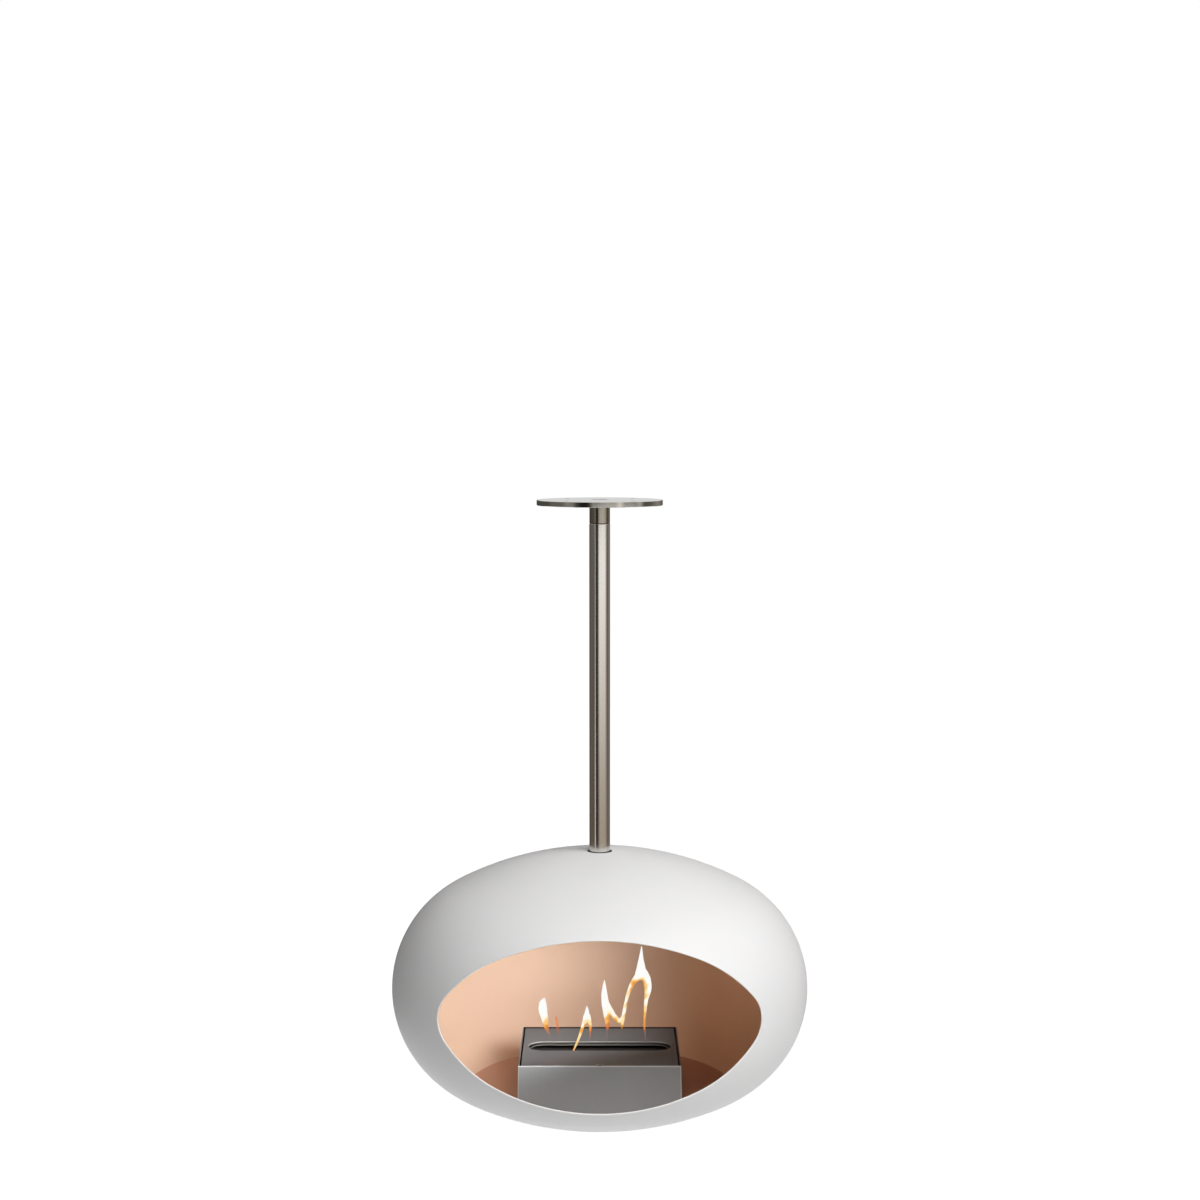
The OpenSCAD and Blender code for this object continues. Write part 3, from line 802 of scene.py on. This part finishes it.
# Narrow wall in front of the other one, for the ceiling plate's rim: azimuth of each band and how
# light its warm grey is, then the wall's reach and the share of the light that the plate gives back
RIM_BANDS = [
    (-180, 50), (-140, 66), (-110, 62), (-96, 90), (-72, 94), (-60, 130), (-46, 84), (-34, 24),
    (-20, 26), (-12, 104), (-6, 72), (4, 112), (16, 130), (28, 132), (36, 196), (46, 108), (66, 96),
    (77, 162), (88, 66), (110, 88), (130, 122), (150, 88), (180, 50),
]
RIM_WALL_RADIUS = WALL_RADIUS - 0.02
RIM_TOP = 0.06
RIM_BOTTOM = -0.152
PLATE_SHARE = 0.58

# White card behind the ceiling plate
CARD_GAP = 0.02
CARD_LIFT = 0.4 * MM
CARD_WIDTH = 0.24
CARD_HEIGHT = 0.012
CARD_GLOW = 0.72


def camera():
    """Camera where the photograph was taken from."""
    bpy.ops.object.camera_add(location=CAMERA_PLACE, rotation=(TURN / 4 - CAMERA_DIP, 0, 0))
    made = bpy.context.object
    made.data.sensor_width = CAMERA_FILM
    made.data.lens = CAMERA_LENS
    bpy.context.scene.camera = made


def softbox(name, azimuth, elevation, distance, size, power, colour=(1, 1, 1), spread=180,
            aim=(0, 0, DOME_MIDDLE)):
    """Area light that faces a point, by default the dome's middle. Camera and mirrors miss it."""
    turn, rise = math.radians(azimuth), math.radians(elevation)
    level = math.cos(rise)
    away = Vector((math.sin(turn) * level, -math.cos(turn) * level, math.sin(rise)))
    bpy.ops.object.light_add(type="AREA", location=Vector(aim) + distance * away)
    lamp = bpy.context.object
    lamp.name = name
    lamp.rotation_euler = away.to_track_quat("Z", "Y").to_euler()
    lamp.data.shape = "RECTANGLE"
    lamp.data.size, lamp.data.size_y = size
    lamp.data.spread = math.radians(spread)
    lamp.data.energy = power
    lamp.data.color = colour
    lamp.visible_camera = False
    lamp.visible_glossy = False


def backdrop_rays(finish):
    """1 for the rays that see the backdrop: from the camera, or off or through a surface."""
    camera_ray = finish.node("LightPath", out="Is Camera Ray")
    glossy_ray = finish.node("LightPath", out="Is Glossy Ray")
    clear_ray = finish.node("LightPath", out="Is Transmission Ray")
    return camera_ray + glossy_ray + clear_ray


def white_world():
    """Ambient light that falls from the horizon to the zenith, with a backdrop that shows white."""
    world = bpy.data.worlds.new("studio")
    bpy.context.scene.world = world
    sky = Finish(world)
    seen = backdrop_rays(sky)
    height = sky.node("SeparateXYZ", {}, {0: sky.node("TexCoord", out="Generated")}, out="Z")
    ambient = (AMBIENT - AMBIENT_FALL * height).greater(AMBIENT_LEAST)
    strength = seen + (1 - seen) * ambient
    sky.end(sky.node("Background", {}, {"Color": WHITE, "Strength": strength}))


def pale_floor():
    """Wide pale floor well below the dome, which shows white except in the dome's shadow."""
    bpy.ops.mesh.primitive_grid_add(
        x_subdivisions=8, y_subdivisions=8, size=FLOOR_SIZE, location=(0, 0, FLOOR_LEVEL))
    floor = bpy.context.object
    floor.name = "studio_floor"
    pale = new_finish("pale_floor")
    matt = pale.node("BsdfDiffuse", {}, {"Color": FLOOR_COLOUR})
    away = pale.node("VectorMath", {"operation": "LENGTH"}, {0: pale.place()}, out="Value")
    lift = FLOOR_LIFT + FAR_LIFT * pale.rise(away, *FAR_REACH)
    strength = FLOOR_GLOW + lift * backdrop_rays(pale)
    glow = pale.node("Emission", {}, {"Color": WHITE, "Strength": strength})
    floor.data.materials.append(pale.end(pale.node("AddShader", {}, {0: matt, 1: glow})))


def mirrors_only(piece):
    """Leaves a piece of the studio to be seen by mirrors alone."""
    piece.visible_camera = False
    piece.visible_diffuse = False
    piece.visible_transmission = False
    piece.visible_shadow = False


def banded_wall(name, radius, bottom, top, bands, share):
    """Round wall of upright bands that only mirrors show, so that polished steel gets its streaks.

    Steel that gives back the given share of the light shows the bands in their own colours."""
    bpy.ops.mesh.primitive_cylinder_add(
        vertices=WALL_SIDES, radius=radius, depth=top - bottom, end_fill_type="NOTHING",
        location=(0, 0, (top + bottom) / 2))
    wall = bpy.context.object
    wall.name = name
    settle(wall)
    glow = new_finish(name)
    right, back, height = glow.along("X"), glow.along("Y"), glow.along("Z")
    azimuth = right.reckon("ARCTAN2", right, 0 - back) / TURN + 0.5
    high = glow.ramp(azimuth, [(turn / 360 + 0.5, paint(*upper)) for turn, upper, lower in bands])
    low = glow.ramp(azimuth, [(turn / 360 + 0.5, paint(*lower)) for turn, upper, lower in bands])
    colour = glow.mix(low, high, glow.rise(height, *WALL_FADE))
    colour = glow.mix(colour, (share, share, share, 1), glow.rise(height, *WALL_WHITEN))
    light = glow.node("Emission", {}, {"Color": colour, "Strength": 1 / share})
    wall.data.materials.append(glow.end(light))
    mirrors_only(wall)


def warm_grey(level):
    """Grey of a level from 0 to 255 with a little warmth."""
    return (level, 0.97 * level, 0.92 * level)


def walls():
    """Both walls that polished steel mirrors: the studio's and the one for the plate's rim."""
    banded_wall("studio_wall", WALL_RADIUS, WALL_BOTTOM, WALL_TOP, WALL_BANDS, POLISHED_SHARE)
    rim_bands = [(turn, warm_grey(level), warm_grey(level)) for turn, level in RIM_BANDS]
    banded_wall("rim_wall", RIM_WALL_RADIUS, RIM_BOTTOM, RIM_TOP, rim_bands, PLATE_SHARE)


def top_card():
    """Low white card just behind the ceiling plate that its top face mirrors."""
    place = (0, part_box("ceiling_plate")[1].y + CARD_GAP, CARD_LIFT + CARD_HEIGHT / 2)
    bpy.ops.mesh.primitive_plane_add(size=1, location=place, rotation=(TURN / 4, 0, 0))
    card = bpy.context.object
    card.name = "top_card"
    card.scale = (CARD_WIDTH, CARD_HEIGHT, 1)
    settle(card)
    white = new_finish("card_white")
    light = white.node("Emission", {}, {"Color": WHITE, "Strength": CARD_GLOW})
    card.data.materials.append(white.end(light))
    mirrors_only(card)


# ---------------------------------------------------------------- the fireplace

def dress(name, finish):
    """Gives a node of the model its material."""
    materials = NODES[name].data.materials
    materials.clear()
    materials.append(finish)


# Stretches that run a steel's fine lines along Z or along X
UPRIGHT = (1, 1, 0.02)
ACROSS = (0.05, 1, 1)

coat = white_powder_coat()
copper = copper_coat("copper_coat", paint(217, 190, 167), paint(209, 180, 157))
polished = (paint(222, 219, 214), paint(212, 209, 204))
zinc = (paint(176, 178, 180), paint(150, 151, 153))
tank = (paint(160, 158, 154), paint(132, 130, 126))
bronze = (paint(198, 160, 98), paint(176, 138, 80))
finishes = {
    "stainless": drawn_steel("polished_steel", *polished, 0.14, UPRIGHT),
    "zinc_steel": drawn_steel("zinc_steel", *zinc, 0.34, ACROSS),
    "tank_steel": drawn_steel("tank_steel", *tank, 0.32, ACROSS),
    "bronze": drawn_steel("bronze", *bronze, 0.30, ACROSS),
    "black_rubber": rubber(),
    "white_coat": coat,
    "copper_coat": copper_coat("copper_floor", paint(186, 144, 122), paint(172, 130, 108)),
    "burner_grey": burner_grey("burner_grey", paint(84, 84, 84), paint(76, 76, 76)),
    "ceramic_wool": ceramic_wool(),
}
for part in frame["record"]["subparts"]:
    dress(part["node"], finishes[part["material_slot"]])

# Pieces whose finish differs from that of their slot
dark_steel = (paint(172, 166, 154), paint(158, 152, 140))
plate_steel = (paint(206, 204, 200), paint(196, 194, 190))
slate = (paint(100, 104, 107), paint(92, 96, 99))
# Near-black faces for the tank lid and the slot shutter
near_black = (paint(22, 22, 22), paint(16, 16, 16))
dress("swivel_collar", drawn_steel("dark_steel", *dark_steel, 0.16, UPRIGHT))
# Each sheet's second colour is a painted highlight on its cut edges; the top plate's rear band is
# painted shade
dress("top_plate", cut_sheet("top_plate", slate, paint(168, 165, 160), shade_width=4 * MM))
dress("tank_lid", cut_sheet("tank_lid", near_black, paint(110, 108, 104)))
dress("slot_shutter", cut_sheet("slot_shutter", near_black, paint(84, 82, 78)))
dress("burner_case", gap_shaded_case())
dress("ceiling_plate", drawn_steel("plate_steel", *plate_steel, 0.06, UPRIGHT))

# The opening's cut edge and its bead get the whiter coat, a painted highlight
edge_highlight_coat = white_edge_highlight()
dome_shell(coat, copper, edge_highlight_coat)
opening_lip(edge_highlight_coat)
panel_grey = burner_grey("panel_grey", paint(144, 148, 150), paint(134, 138, 140))
# Light grey for the panel's bevels: a painted highlight
panel_edge_highlight = burner_grey("panel_edge_highlight", paint(206, 209, 211), paint(196, 199, 201))
burner_front(panel_grey, panel_edge_highlight)
glow = flame_glow()
for name, strands in FLAMES.items():
    flame(name, strands, FLAME_HEAT[name], glow)

camera()
softbox("key_softbox", azimuth=34, elevation=48, distance=3.2, size=(3.0, 3.0), power=107,
        colour=(1, 0.99, 0.98))
softbox("inner_lamp", azimuth=34, elevation=17, distance=0.155, size=(0.28, 0.10), power=0.62,
        spread=80, aim=(-0.06, -0.015, -0.684))
white_world()
pale_floor()
walls()
top_card()
bpy.context.scene.view_settings.view_transform = "Standard"
